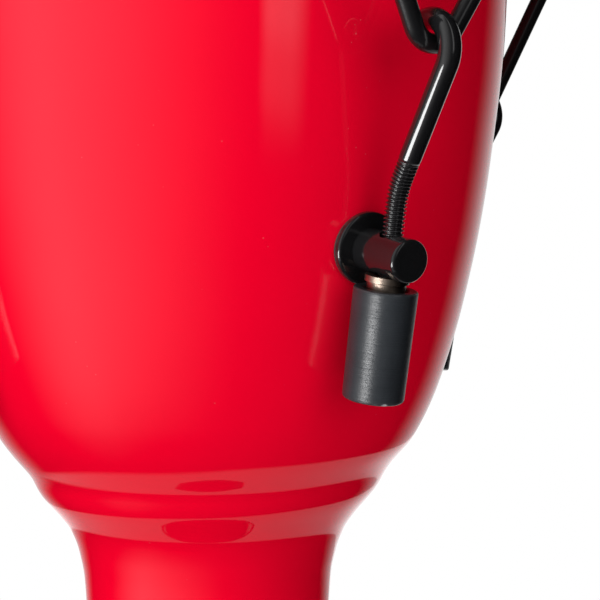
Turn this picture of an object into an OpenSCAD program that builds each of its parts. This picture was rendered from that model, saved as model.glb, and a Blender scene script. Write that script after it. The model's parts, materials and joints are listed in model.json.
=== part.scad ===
// Goblet hand drum (djembe) with a moulded shell and mechanical tuning.
// The origin is the centre of the foot, on the surface that the drum stands on. Lengths are in millimetres.
// Each of the tuning sets is drawn once in its own radial plane and repeated round the shell.

/* [Shell] */
// Height of the bearing edge, where the head lies on the shell
shell_top = 550; // [540:1:560]
// Outside radius of the straight collar under the bearing edge
collar_r = 126.3; // [126:0.1:127]
// Thickness of the moulded wall
wall = 6; // [4:0.5:7]
// Height of the lower edge of the moulded shell, inside the foot ring
shell_bottom = 4; // [3:0.5:6]
// Height of the ring at the waist where the bowl is joined to the stem
shell_joint = 279; // [279:5:284]

/* [Foot] */
// Height of the rubber ring on the foot
foot_ring_h = 16; // [12:1:20]
// Thickness of the rubber around the edge of the shell
foot_rubber = 3; // [2:0.5:4]

/* [Head] */
// Thickness of the skin
skin_t = 1.2; // [0.8:0.1:1.4]
// Radius of the round steel bar of the flesh hoop
flesh_bar_r = 4; // [3.5:0.1:4]
// Height of the centre of the flesh hoop
flesh_z = 527; // [525:1:529]

/* [Counter hoop] */
// Thickness of the steel band
band_t = 3; // [2.5:0.5:3]
// Height of the band's lower edge
band_bottom = 507; // [505:1:508]
// Height of the band's upper edge
band_top = 538; // [537:1:540]

/* [Tuning sets] */
// Number of tuning sets round the shell
sets = 4; // [4:1:4]
// Height of the rod's crossing with the axis of the lug post
bore_z = 375; // [375:1:375]
// Distance of that crossing from the drum's axis
bore_rho = 127.75; // [127.75:0.05:127.8]
// Lean of the tuning rod in the lug, outwards from the vertical, in degrees
lug_lean = 11.08; // [11:0.02:11.2]
// Radius of the lug's round flange
flange_r = 13.5; // [13:0.1:14]
// Radius of the lug's post
post_r = 7.85; // [7.5:0.05:8]
// Distance from the rod's axis to the front face of the post
post_front = 12.2; // [12:0.1:13]
// Distance from the rod's axis back to the skin of the shell
post_back = 15.3; // [15.3:0.1:15.3]
// Radius of the clearance hole for the rod in the post
post_bore_r = 4.6; // [4.4:0.1:4.8]

/* [Hook rod] */
// Radius of the plain shank of the rod (5/16 inch bar)
rod_r = 3.97; // [3.9:0.01:4]
// Radius over the threads
thread_r = 3.87; // [3.8:0.01:3.9]
// Length of straight rod above the lug, before the bend
straight_up = 17.5; // [17:0.5:19]
// Length of rod below the lug
straight_down = 40; // [38:1:42]
// Radius of the bend above the lug, on the centre of the rod
bend_r = 30; // [25:1:35]
// Angle of that bend, outwards, in degrees
bend_angle = 22.3; // [20:0.1:24]
// Length of the thread on the leaning part of the rod
lean_thread = 6; // [4:1:8]
// Length of the leaning part of the rod, between the bends
shank_len = 42; // [41:0.5:43]
// Radius of the hook, on the centre of the rod
hook_r = 11; // [10.8:0.1:11.2]
// Sweep of the hook, in degrees
hook_sweep = 155; // [150:1:160]

/* [V rod] */
// Radius of the V rod's bar
v_bar_r = 3.5; // [3.4:0.1:3.5]
// Half of the angle between the limbs, in degrees
v_half = 28.6; // [28:0.1:29]
// Radius of the bend at the foot of the V, on the centre of the bar
v_bend_r = 9.5; // [9:0.1:10]
// Angle by which the plane of the V leans outwards, towards its head end
v_lean = 9; // [8:0.5:10]
// Length of each limb above the bend, up to the top of its head
limb_len = 84; // [83:0.5:85]

/* [Nut and boot] */
// Distance from the rod's axis crossing down to the flat seat under the post
seat_drop = 7.2; // [7:0.1:7.4]
// Radius of the thrust washer
washer_r = 8; // [7.8:0.1:8.2]
// Thickness of the thrust washer
washer_t = 2.2; // [2:0.1:2.4]
// Distance across the flats of the hexagon nut
nut_flats = 12.7; // [12.5:0.1:13]
// Length of the rubber boot that covers the nut
boot_len = 40.4; // [40:0.1:41]
// Radius of the boot at its mouth
boot_r = 11.62; // [11.5:0.01:11.7]
// Radius of the boot at its closed end
boot_end_r = 11.2; // [11:0.1:11.4]

/* [Hidden] */
$fn = 96;
step_deg = 360 / sets;
// clearance between pieces that move past each other
gap = 0.3;
// radial clearance of the rod in the nut's thread
thread_gap = 0.05;
// how far a bend runs into the straight lengths, and how much thinner it is
bend_run_in = 0.25;
bend_thinner = 0.02;

// Outline of the shell from the foot to the bearing edge: [height, outside radius]
STATIONS = [
    [0, 93], [40, 84.5], [90, 72.3], [140, 60.8], [180, 53.6], [213, 51.1], [240, 52.4], [252, 54.9],
    [262, 59.1], [270, 65.0], [277, 70.7], [285, 75.4], [292, 80.7], [300, 87.0], [310, 92.7], [330, 100.4],
    [360, 108.9], [395, 116.0], [435, 121.7], [465, 124.7], [500, collar_r], [560, collar_r]
];
OUTLINE_STEP = 5;

// Slope of the outline at a station: the harmonic mean of the slopes on both sides, or none at a turning point
function chord(i) = (STATIONS[i + 1][1] - STATIONS[i][1]) / (STATIONS[i + 1][0] - STATIONS[i][0]);
function station_slope(i) =
    i == 0 ? chord(0) :
    i == len(STATIONS) - 1 ? 0 :
    let (before = chord(i - 1), after = chord(i))
    before * after <= 0 ? 0 : 2 * before * after / (before + after);
function span_of(z, i = 0) = i >= len(STATIONS) - 2 || z < STATIONS[i + 1][0] ? i : span_of(z, i + 1);
// Cubic Hermite curve through the stations
function shell_r(z) =
    let (i = span_of(z), z0 = STATIONS[i][0], dz = STATIONS[i + 1][0] - z0, t = (z - z0) / dz)
    STATIONS[i][1] * (2 * pow(t, 3) - 3 * t * t + 1) + STATIONS[i + 1][1] * (3 * t * t - 2 * pow(t, 3))
    + dz * station_slope(i) * (pow(t, 3) - 2 * t * t + t) + dz * station_slope(i + 1) * (pow(t, 3) - t * t);
function shell_slope(z) = (shell_r(z + 0.5) - shell_r(z - 0.5));
// The wall is measured square to the outline, so its horizontal width grows with the slope
function inner_r(z) = shell_r(z) - wall * sqrt(1 + pow(shell_slope(max(z, 1)), 2));

// Frame of the hook rod above the lug, in the radial plane
hook_lean = lug_lean + bend_angle;
bend_end_x = bend_r * (1 - cos(bend_angle));
bend_end_z = straight_up + bend_r * sin(bend_angle);
shank_top_rho = bore_rho + bend_end_x * cos(lug_lean) + bend_end_z * sin(lug_lean) + shank_len * sin(hook_lean);
shank_top_z = bore_z - bend_end_x * sin(lug_lean) + bend_end_z * cos(lug_lean) + shank_len * cos(hook_lean);
hook_rho = shank_top_rho - hook_r * cos(hook_lean);
hook_z = shank_top_z + hook_r * sin(hook_lean);
// The foot of the V hangs under the top of the hook's inside, clear of it over the whole travel
v_out = 1.6;
v_slack = 0.9;
v_rho = hook_rho + v_out;
v_z = hook_z + hook_r - rod_r - v_bar_r - gap - v_slack;

// Hoops round the collar of the shell
skin_r = collar_r + skin_t;
flesh_r = skin_r + gap + skin_t + flesh_bar_r;
tuck_r = flesh_bar_r + skin_t;
band_r = flesh_r + tuck_r;
lip_r = skin_r + 1;
ear_r = 6.2;
ear_len = 14;
limb_head_h = 4;
ear_start = limb_len - limb_head_h - ear_len;
// width of the block between a sleeve and the band, its length, and its turn about the limb
ear_web = 7;
ear_reach = 28;
ear_turn = 90;
sleeve_gap = 0.1;

// Lug and the parts under it, measured along the rod
nut_top = seat_drop + washer_t + gap;
nut_collar_r = 7;
nut_collar_h = 3;
nut_hex_h = 15;
boot_top = 11.8;
boot_floor = 3;
gasket_t = 0.8;
flange_t = 2.5;
screw_r = 3;
screw_hole_r = screw_r + 0.2;
screw_in_post = 7;
backing_r = 12;
backing_t = 2.5;
backing_gap = 0.1;
// Heights between which the pads lie on the wall, and the outward bulge of the wall between them
pad_low = 360;
pad_high = 396;
pad_shift = 0.35;

// Places a child drawn in the radial plane (x outwards) at tuning set k, the first one facing -Y
module at_set(k) {
    rotate([0, 0, -90 + step_deg * (k - 1)])
        children();
}

module at_every_set() {
    for (k = [1:sets])
        at_set(k) children();
}

// Frame of the lug: z along the rod, x along the post, out from the shell
module lug_frame() {
    translate([bore_rho, 0, bore_z])
        rotate([0, lug_lean, 0])
            children();
}

// A cylinder along x, from x = a to x = b
module along_x(a, b, r) {
    translate([a, 0, 0])
        rotate([0, 90, 0])
            cylinder(r = r, h = b - a);
}

// A bar that comes up along z and bends towards -x through the angle sweep; bend is its centre line's radius.
// It is a hair thinner than the straight lengths and runs a little way into them, so that they merge cleanly.
module bent_bar(bend, sweep, r) {
    run_in = bend_run_in / bend * 180 / PI;
    translate([-bend, 0, 0])
        rotate([90, 0, 0])
            rotate([0, 0, -run_in])
                rotate_extrude(angle = sweep + 2 * run_in)
                    translate([bend, 0])
                        circle(r = r - bend_thinner);
}

// Frame at the far end of that bend, with z along the bar again
module after_bend(bend, sweep) {
    translate([-bend, 0, 0])
        rotate([0, -sweep, 0])
            translate([bend, 0, 0])
                children();
}

// Solid of revolution of the shell's outline between two heights, or of its cavity if inside is true
module shell_body(inside, low, high) {
    past = inside ? 1 : 0;
    outline = [for (z = [low:OUTLINE_STEP:high - 1]) [inside ? inner_r(z) : shell_r(z), z]];
    first = outline[0][0];
    last = inside ? inner_r(high) : shell_r(high);
    rotate_extrude()
        polygon(concat([[0, low - past], [first, low - past]], outline, [[last, high + past], [0, high + past]]));
}

// Cutter that rounds the bearing edge: all that is outside a half circle over the top of the wall
module bearing_edge_cutter() {
    centre_r = collar_r - wall / 2;
    rotate_extrude()
        translate([centre_r, shell_top - wall / 2])
            difference() {
                translate([-wall / 2 - 1, 0])
                    square([wall + 2, wall]);
                circle(r = wall / 2);
            }
}

// Lower half of the moulding, from the foot to the waist
module shell_stem() {
    color("red")
    difference() {
        shell_body(false, shell_bottom, shell_joint);
        shell_body(true, shell_bottom, shell_joint);
    }
}

// Upper half of the moulding, bonded to the stem at the waist
module shell_bowl() {
    through = 20;
    color("red")
    difference() {
        shell_body(false, shell_joint, shell_top);
        shell_body(true, shell_joint, shell_top);
        bearing_edge_cutter();
        at_every_set()
            lug_frame()
                along_x(-post_back - through, -post_back + through, screw_hole_r);
    }
}

// Rubber channel pressed over the lower edge of the shell
module foot_ring() {
    outer = shell_r(0) + foot_rubber;
    inner = inner_r(shell_bottom) - foot_rubber;
    foot_soft = 2;
    rim_soft = 1.5;
    outer_rim = shell_r(foot_ring_h);
    inner_rim = inner_r(foot_ring_h);
    color("dimgray")
    difference() {
        rotate_extrude()
            polygon([
                [inner + foot_soft, 0], [outer - foot_soft, 0], [outer, foot_soft],
                [outer_rim + foot_rubber, foot_ring_h - rim_soft], [outer_rim + rim_soft, foot_ring_h],
                [inner_rim - rim_soft, foot_ring_h], [inner_rim - foot_rubber, foot_ring_h - rim_soft],
                [inner, foot_soft]
            ]);
        difference() {
            shell_body(false, shell_bottom, shell_joint);
            shell_body(true, shell_bottom, shell_joint);
        }
    }
}

// Skin over the bearing edge: a flat disc with a round shoulder
module head_skin() {
    shoulder = wall / 2 + skin_t;
    color("antiquewhite")
    rotate_extrude() {
        translate([0, shell_top])
            square([collar_r - wall / 2, skin_t]);
        translate([collar_r - wall / 2, shell_top - wall / 2])
            intersection() {
                difference() {
                    circle(r = shoulder);
                    circle(r = wall / 2);
                }
                square([shoulder, shoulder]);
            }
    }
}

// Tube of skin that runs down from the shoulder, inside the hoops
module skin_collar() {
    below_hoop = 8;
    low = flesh_z - flesh_bar_r - below_hoop;
    color("antiquewhite")
    rotate_extrude()
        translate([collar_r, low])
            square([skin_t, shell_top - wall / 2 - low]);
}

// Skin wrapped round the flesh hoop
module skin_tuck() {
    color("wheat")
    rotate_extrude()
        translate([flesh_r, flesh_z])
            difference() {
                circle(r = tuck_r);
                circle(r = flesh_bar_r);
            }
}

module flesh_hoop() {
    color("dimgray")
    rotate_extrude()
        translate([flesh_r, flesh_z])
            circle(r = flesh_bar_r);
}

// Steel band with a lip over the flesh hoop and a rolled upper edge
module counter_hoop() {
    lip_z = flesh_z + tuck_r;
    bead_r = 3.5;
    into_band = 1;
    color("#161616")
    rotate_extrude() {
        translate([band_r, band_bottom])
            square([band_t, band_top - band_bottom]);
        translate([lip_r, lip_z])
            square([band_r - lip_r + into_band, band_t]);
        translate([band_r + band_t / 2, band_top])
            circle(r = bead_r);
        translate([band_r + band_t / 2, band_bottom])
            circle(r = band_t / 2);
    }
}

// Frame of the V: z up in the plane of the V, y across it
module v_frame() {
    translate([v_rho, 0, v_z])
        rotate([0, v_lean, 0])
            children();
}

// Frame at the foot of the V for one of its halves: z along the bar, -x towards the inside of the bend
module half_frame(side) {
    rotate([0, 0, side * 90])
        rotate([0, 90, 0])
            children();
}

// Frame of one limb: z along the limb, from the end of the bend at the foot of the V
module limb_frame(side) {
    half_frame(side)
        after_bend(v_bend_r, 90 - v_half)
            children();
}

// Welded sleeves that carry the limbs, joined to the band by a block
module hoop_ears() {
    inset = 1;
    cut_below = 20;
    cut_h = 70;
    color("#161616")
    at_every_set()
        difference() {
            for (side = [-1, 1])
                v_frame()
                    limb_frame(side)
                        translate([0, 0, ear_start]) {
                            cylinder(r = ear_r, h = ear_len);
                            rotate([0, 0, side * ear_turn])
                                translate([0, -ear_web / 2, inset])
                                    cube([ear_reach, ear_web, ear_len - 2 * inset]);
                        }
            for (side = [-1, 1])
                v_frame()
                    limb_frame(side)
                        translate([0, 0, ear_start - inset])
                            cylinder(r = v_bar_r + sleeve_gap, h = ear_len + 2 * inset);
            translate([0, 0, band_bottom - cut_below])
                cylinder(r = band_r + band_t, h = cut_h);
        }
}

// V rod: two limbs, the bend at the foot, and a formed head on the end of each limb
module v_rod(k) {
    head_r = ear_r - 0.2;
    into_head = 3;
    edge = 0.6;
    color("#161616")
    at_set(k)
        v_frame() {
            half_frame(1)
                after_bend(v_bend_r, v_half - 90)
                    bent_bar(v_bend_r, 180 - 2 * v_half, v_bar_r);
            for (side = [-1, 1])
                limb_frame(side) {
                    cylinder(r = v_bar_r, h = ear_start + ear_len + into_head);
                    translate([0, 0, ear_start + ear_len])
                        rotate_extrude()
                            polygon([
                                [0, 0], [head_r - edge, 0], [head_r, edge],
                                [head_r - edge, limb_head_h - 2 * edge], [v_bar_r, limb_head_h], [0, limb_head_h]
                            ]);
                }
        }
}

// Lug casting: flange and post in one, drilled across for the rod and tapped from behind for the screw
module lug(k) {
    back = -post_back + gasket_t;
    edge = 1.4;
    flange_edge = 1.2;
    tap_depth = screw_in_post + 1;
    through = 20;
    color("#161616")
    at_set(k)
        lug_frame()
            difference() {
                translate([back, 0, 0])
                    rotate([0, 90, 0])
                        rotate_extrude()
                            union() {
                                square([flange_r - flange_edge, flange_t]);
                                square([flange_r, flange_t - flange_edge]);
                                translate([flange_r - flange_edge, flange_t - flange_edge])
                                    circle(r = flange_edge);
                                square([post_r, post_front - back - edge]);
                                square([post_r - edge, post_front - back]);
                                translate([post_r - edge, post_front - back - edge])
                                    circle(r = edge);
                            }
                translate([0, 0, -through])
                    cylinder(r = post_bore_r, h = 2 * through);
                along_x(back - 1, back + tap_depth, screw_r + thread_gap);
                translate([-post_r - 1, -through / 2, -seat_drop - through / 2])
                    cube([2 * post_r + 2, through, through / 2]);
            }
}

// Cone that lies along the wall at the height of the lugs, offset by shift
module wall_cone(at_low, at_high, shift) {
    translate([0, 0, pad_low])
        cylinder(r1 = at_low + shift, r2 = at_high + shift, h = pad_high - pad_low, $fn = 180);
}

// Rubber pads that take up the curve of the shell behind each flange
module lug_gaskets() {
    into_shell = 3;
    through = 5;
    color("#202020")
    at_every_set()
        difference() {
            lug_frame()
                along_x(-post_back - into_shell, -post_back + gasket_t, flange_r - 0.5);
            lug_frame()
                along_x(-post_back - through, -post_back + through, screw_hole_r);
            wall_cone(shell_r(pad_low), shell_r(pad_high), pad_shift);
        }
}

// Saddle washers inside the shell, shaped to its curve
module backing_washers() {
    through = 20;
    color("gray")
    at_every_set()
        intersection() {
            difference() {
                lug_frame()
                    along_x(-post_back - wall - backing_t, -post_back, backing_r);
                lug_frame()
                    along_x(-post_back - through, -post_back, screw_hole_r);
            }
            wall_cone(inner_r(pad_low), inner_r(pad_high), -backing_gap);
        }
}

// Button-head screws driven from inside the shell into the posts
module lug_screws() {
    head_x = -post_back - wall - backing_t;
    head_r = 5.66;
    dome_r = 6.5;
    dome_drop = 3.2;
    socket_r = 2.3;
    socket_from = 4;
    socket_depth = 3;
    color("silver")
    at_every_set()
        lug_frame()
            difference() {
                union() {
                    along_x(head_x, -post_back + gasket_t + screw_in_post, screw_r);
                    translate([head_x, 0, 0])
                        rotate([0, -90, 0])
                            rotate_extrude()
                                intersection() {
                                    translate([0, -dome_drop])
                                        circle(r = dome_r);
                                    square([head_r, dome_r]);
                                }
                }
                translate([head_x - socket_from, 0, 0])
                    rotate([0, 90, 0])
                        cylinder(r = socket_r, h = socket_depth, $fn = 6);
            }
}

// Steel washers under the flat seats of the posts
module thrust_washers() {
    color("#8a8178")
    at_every_set()
        lug_frame()
            translate([0, 0, -seat_drop - washer_t])
                difference() {
                    cylinder(r = washer_r, h = washer_t);
                    translate([0, 0, -washer_t])
                        cylinder(r = post_bore_r, h = 3 * washer_t);
                }
}

// J-shaped tuning rod: thread through the lug, a bend, a leaning shank and the hook
module hook_rod(k) {
    color("#161616")
    at_set(k)
        lug_frame() {
            translate([0, 0, -straight_down])
                cylinder(r = thread_r, h = straight_down + straight_up);
            translate([0, 0, straight_up])
                rotate([0, 0, 180]) {
                    bent_bar(bend_r, bend_angle, thread_r);
                    after_bend(bend_r, bend_angle) {
                        cylinder(r = thread_r, h = lean_thread);
                        translate([0, 0, lean_thread])
                            cylinder(r = rod_r, h = shank_len - lean_thread);
                        translate([0, 0, shank_len])
                            rotate([0, 0, 180]) {
                                bent_bar(hook_r, hook_sweep, rod_r);
                                after_bend(hook_r, hook_sweep)
                                    sphere(r = rod_r + bend_thinner);
                            }
                    }
                }
        }
}

// Hexagon nut with a round collar that turns on the thrust washer
module tuning_nut(k) {
    color("#9a8f84")
    at_set(k)
        lug_frame()
            difference() {
                union() {
                    translate([0, 0, -nut_top - nut_collar_h])
                        cylinder(r = nut_collar_r, h = nut_collar_h);
                    translate([0, 0, -nut_top - nut_collar_h - nut_hex_h])
                        cylinder(r = nut_flats / 2 / cos(30), h = nut_hex_h, $fn = 6);
                }
                translate([0, 0, -2 * nut_hex_h - nut_top])
                    cylinder(r = thread_r + thread_gap, h = 2 * nut_hex_h + nut_top);
            }
}

// Rubber boot pushed over the nut, closed at its lower end
module nut_boot(k) {
    mouth = 1.2;
    pocket_r = nut_flats / 2 / cos(30) + thread_gap;
    color("#3a3d40")
    at_set(k)
        lug_frame()
            translate([0, 0, -boot_top - boot_len])
                difference() {
                    cylinder(r1 = boot_end_r, r2 = boot_r, h = boot_len);
                    translate([0, 0, boot_floor])
                        cylinder(r = pocket_r, h = boot_len);
                    translate([0, 0, boot_len - mouth])
                        cylinder(r1 = pocket_r, r2 = pocket_r + mouth, h = mouth + 0.01);
                }
}

shell_stem();
shell_bowl();
foot_ring();
head_skin();
skin_collar();
skin_tuck();
flesh_hoop();
counter_hoop();
hoop_ears();
lug(1);  // lug_1
lug(2);  // lug_2
lug(3);  // lug_3
lug(4);  // lug_4
lug_gaskets();
backing_washers();
lug_screws();
thrust_washers();
hook_rod(1);  // hook_rod_1
hook_rod(2);  // hook_rod_2
hook_rod(3);  // hook_rod_3
hook_rod(4);  // hook_rod_4
v_rod(1);  // v_rod_1
v_rod(2);  // v_rod_2
v_rod(3);  // v_rod_3
v_rod(4);  // v_rod_4
tuning_nut(1);  // tuning_nut_1
tuning_nut(2);  // tuning_nut_2
tuning_nut(3);  // tuning_nut_3
tuning_nut(4);  // tuning_nut_4
nut_boot(1);  // nut_boot_1
nut_boot(2);  // nut_boot_2
nut_boot(3);  // nut_boot_3
nut_boot(4);  // nut_boot_4
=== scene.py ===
# %% [markdown]
# # A goblet drum with hook-and-lug tuning
# The imported CAD model is the fixed frame: it holds every size and place. This script adds what the eye
# needs: a smooth moulded shell, real threads on the rods, rounded rubber, a stretched skin, and finishes.
# Every length is in metres and every piece but the skin rides on the CAD body that it belongs to.

# %% Load the frame and keep its box
import json
import math

import bpy
import bmesh
import numpy as np
from mathutils import Matrix, Vector

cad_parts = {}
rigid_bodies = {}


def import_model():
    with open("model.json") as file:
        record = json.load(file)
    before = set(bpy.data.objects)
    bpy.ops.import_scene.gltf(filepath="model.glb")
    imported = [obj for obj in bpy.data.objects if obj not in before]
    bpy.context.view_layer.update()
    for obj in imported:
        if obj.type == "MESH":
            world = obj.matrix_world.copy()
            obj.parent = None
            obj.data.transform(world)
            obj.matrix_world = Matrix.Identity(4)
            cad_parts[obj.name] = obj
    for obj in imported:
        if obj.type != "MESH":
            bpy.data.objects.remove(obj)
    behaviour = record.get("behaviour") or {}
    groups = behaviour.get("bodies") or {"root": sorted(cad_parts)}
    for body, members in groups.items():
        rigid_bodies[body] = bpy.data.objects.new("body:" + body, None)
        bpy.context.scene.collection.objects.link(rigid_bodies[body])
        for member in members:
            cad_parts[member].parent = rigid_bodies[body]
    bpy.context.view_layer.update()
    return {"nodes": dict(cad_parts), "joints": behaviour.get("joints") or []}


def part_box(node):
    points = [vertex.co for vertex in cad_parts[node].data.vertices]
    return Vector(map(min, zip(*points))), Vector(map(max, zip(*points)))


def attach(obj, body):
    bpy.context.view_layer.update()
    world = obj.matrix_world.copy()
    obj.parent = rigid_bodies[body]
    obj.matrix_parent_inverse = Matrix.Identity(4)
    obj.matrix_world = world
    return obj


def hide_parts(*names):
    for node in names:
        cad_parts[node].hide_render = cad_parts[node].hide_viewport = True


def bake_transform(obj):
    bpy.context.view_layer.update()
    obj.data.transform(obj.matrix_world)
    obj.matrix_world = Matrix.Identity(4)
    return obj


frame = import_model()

MM = 0.001
JOINTS = {joint["name"]: joint for joint in frame["joints"]}
SETS = sorted(int(name.rsplit("_", 1)[1]) for name in JOINTS if name.startswith("nut_turn"))

# %% [markdown]
# ## The camera
# The first tuning set faces -Y. The eye stands to its left and looks past the drum's axis, so that the set
# is seen turned to the right, level with the lug. A long lens keeps the shape of the bowl calm.

# %% Place the camera
VIEW_TURN = math.radians(33.67)      # angle between the line of sight and the plane of the first set
VIEW_DISTANCE = 0.617                # from the eye to the drum's axis, along the line of sight
VIEW_ASIDE = 0.03915                 # how far the line of sight passes to the right of the axis
VIEW_PITCH = math.radians(1.35)      # downwards
VIEW_BELOW_BORE = 0.0036             # the eye is this much lower than the rod's bore in the lug

forward = Vector((math.sin(VIEW_TURN), math.cos(VIEW_TURN), 0))
right = Vector((math.cos(VIEW_TURN), -math.sin(VIEW_TURN), 0))
bore = Vector(JOINTS["nut_turn_1"]["pos_m"])
eye = -forward * VIEW_DISTANCE + right * VIEW_ASIDE + Vector((0, 0, bore.z - VIEW_BELOW_BORE))

camera_data = bpy.data.cameras.new("camera")
camera_data.sensor_width = 36
camera_data.lens = 87
camera_data.clip_start = 0.01
camera = bpy.data.objects.new("camera", camera_data)
bpy.context.scene.collection.objects.link(camera)
gaze = forward * math.cos(VIEW_PITCH) - Vector((0, 0, math.sin(VIEW_PITCH)))
camera.location = eye
camera.rotation_mode = "QUATERNION"
camera.rotation_quaternion = gaze.to_track_quat("-Z", "Y")
bpy.context.scene.camera = camera
bpy.context.scene.view_settings.view_transform = "Standard"
print("eye at", [round(c, 3) for c in eye])

# %% [markdown]
# ## Surfaces as arrays
# Each new piece is a grid of points over two parameters, worked out as whole arrays. One helper turns
# such a grid into a mesh, closes it round and at its poles, and turns its faces outwards.

# %% Helpers that make a mesh from a grid of points
def grid_faces(rows, columns, close_rows, close_columns):
    """Quads between neighbouring grid points; a closed direction also joins the last line to the first."""
    i = np.arange(rows if close_rows else rows - 1)
    j = np.arange(columns if close_columns else columns - 1)
    i, j = np.meshgrid(i, j, indexing="ij")
    i2, j2 = (i + 1) % rows, (j + 1) % columns
    corners = [i * columns + j, i * columns + j2, i2 * columns + j2, i2 * columns + j]
    return np.stack([c.ravel() for c in corners], axis=1)


def signed_volume(points, faces):
    """Sum over the quads of the volume between each half of a quad and the origin, above 0 if they face out."""
    a, b, c, d = (points[faces[:, n]] for n in range(4))
    first = np.einsum("ij,ij->i", a, np.cross(b, c)).sum()
    second = np.einsum("ij,ij->i", a, np.cross(c, d)).sum()
    return (first + second) / 6


def mesh_from_grid(name, grid, close_rows=False, close_columns=True, uv_scale=(1, 1)):
    """Object from a (rows, columns, 3) array of points. Rows run along the piece and columns round it.
    Its UV map holds the share of the way along and round, each times its scale."""
    rows, columns = grid.shape[:2]
    points = grid.reshape(-1, 3)
    faces = grid_faces(rows, columns, close_rows, close_columns)
    flipped = signed_volume(points, faces) < 0
    if flipped:
        faces = faces[:, ::-1]
    mesh = bpy.data.meshes.new(name)
    mesh.vertices.add(len(points))
    mesh.vertices.foreach_set("co", points.astype(np.float32).ravel())
    mesh.loops.add(faces.size)
    mesh.loops.foreach_set("vertex_index", faces.astype(np.int32).ravel())
    mesh.polygons.add(len(faces))
    mesh.polygons.foreach_set("loop_start", np.arange(0, faces.size, 4, dtype=np.int32))
    mesh.update(calc_edges=True)
    row_gaps, column_gaps = rows - 1 + close_rows, columns - 1 + close_columns
    i, j = np.meshgrid(np.arange(row_gaps), np.arange(column_gaps), indexing="ij")
    i, j = i.ravel(), j.ravel()
    along = np.stack([i, i, i + 1, i + 1], axis=1) / row_gaps * uv_scale[0]
    around = np.stack([j, j + 1, j + 1, j], axis=1) / column_gaps * uv_scale[1]
    if flipped:
        along, around = along[:, ::-1], around[:, ::-1]
    layer = mesh.uv_layers.new(name="UVMap")
    layer.data.foreach_set("uv", np.stack([along, around], axis=2).astype(np.float32).ravel())
    mesh.polygons.foreach_set("use_smooth", np.ones(len(faces), dtype=bool))
    close_poles(mesh)
    piece = bpy.data.objects.new(name, mesh)
    bpy.context.scene.collection.objects.link(piece)
    return piece


def close_poles(mesh, reach=1e-6):
    """Merges the points that lie on each other, as at a pole, and drops the faces that this flattens."""
    shape = bmesh.new()
    shape.from_mesh(mesh)
    bmesh.ops.remove_doubles(shape, verts=shape.verts, dist=reach)
    bmesh.ops.dissolve_degenerate(shape, edges=shape.edges, dist=reach)
    shape.to_mesh(mesh)
    shape.free()


def lathe(name, outline, steps=160, place=None, closed=True, uv_scale=(1, 1)):
    """Surface of revolution: every (radius, height) of the outline is carried round the z axis."""
    outline = np.asarray(outline, float)
    turn = np.linspace(0, 2 * math.pi, steps, endpoint=False)
    grid = np.empty((len(outline), steps, 3))
    grid[..., 0] = outline[:, :1] * np.cos(turn)
    grid[..., 1] = outline[:, :1] * np.sin(turn)
    grid[..., 2] = outline[:, 1:]
    return mesh_from_grid(name, moved(grid, place), close_rows=closed, uv_scale=uv_scale)


def moved(grid, place):
    """The same points, carried by the 4 by 4 matrix place."""
    if place is None:
        return grid
    matrix = np.array(place)
    return grid @ matrix[:3, :3].T + matrix[:3, 3]


def corner_arc(centre, radius, start, stop, count=8):
    """Points on a circle round centre, from angle start to angle stop in degrees."""
    angle = np.radians(np.linspace(start, stop, count))
    return np.stack([centre[0] + radius * np.cos(angle), centre[1] + radius * np.sin(angle)], axis=1)


def soften(outline, radius, count=6):
    """Rounds every corner of a closed outline: each corner becomes a quadratic curve that starts and ends
    at the distance radius from it, or nearer on a short side."""
    points = np.asarray(outline, float)
    before, after = np.roll(points, 1, axis=0), np.roll(points, -1, axis=0)
    rounded = []
    for corner, a, b, size in zip(points, before, after, np.broadcast_to(radius, len(points))):
        to_a, to_b = a - corner, b - corner
        start = corner + to_a * min(size / np.linalg.norm(to_a), 0.5)
        stop = corner + to_b * min(size / np.linalg.norm(to_b), 0.5)
        t = np.linspace(0, 1, count if size > 0 else 1)[:, None]
        rounded.append((1 - t) ** 2 * start + 2 * t * (1 - t) * corner + t ** 2 * stop)
    return np.concatenate(rounded)


def dense(outline, step):
    """The same closed outline with extra points on its long straight stretches."""
    points = np.asarray(outline, float)
    following = np.roll(points, -1, axis=0)
    parts = []
    for a, b in zip(points, following):
        count = max(int(np.linalg.norm(b - a) / step), 1)
        parts.append(a + (b - a) * np.arange(count)[:, None] / count)
    return np.concatenate(parts)

# %% [markdown]
# ## Frames of the tuning sets
# The hinge of each nut in the record gives the middle of its lug and the direction of its rod. From
# those two, a matrix is made with z along the rod and x outwards along the post.

# %% Matrix of each lug
def lug_place(k):
    """4 by 4 matrix of set k: origin in the lug, z up along the rod, x out along the post."""
    joint = JOINTS[f"nut_turn_{k}"]
    along = Vector(joint["axis"]).normalized()
    origin = Vector(joint["pos_m"])
    side = along.cross(Vector((origin.x, origin.y, 0))).normalized()
    out = side.cross(along)
    return Matrix.Translation(origin) @ Matrix((out, side, along)).transposed().to_4x4()


LUG = {k: lug_place(k) for k in SETS}
print("lean of the rods:", round(math.degrees(math.acos(LUG[1][2][2])), 2), "degrees")

# %% [markdown]
# ## Finishes
# Gel coat, powder coat, rubber and plated steel share three effects, each built once as a node group that
# puts out a value: a fine grain, worn edges, and a few specks of dust. The shaders stay in the materials.

# %% Node groups
def new_group(name, inputs, outputs):
    """Empty shader node group with float inputs (name, default) and named outputs."""
    group = bpy.data.node_groups.new(name, "ShaderNodeTree")
    for label, value in inputs:
        socket = group.interface.new_socket(label, in_out="INPUT", socket_type="NodeSocketFloat")
        socket.default_value = value
    for label, kind in outputs:
        group.interface.new_socket(label, in_out="OUTPUT", socket_type=kind)
    return group, group.nodes.new("NodeGroupInput"), group.nodes.new("NodeGroupOutput")


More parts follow.
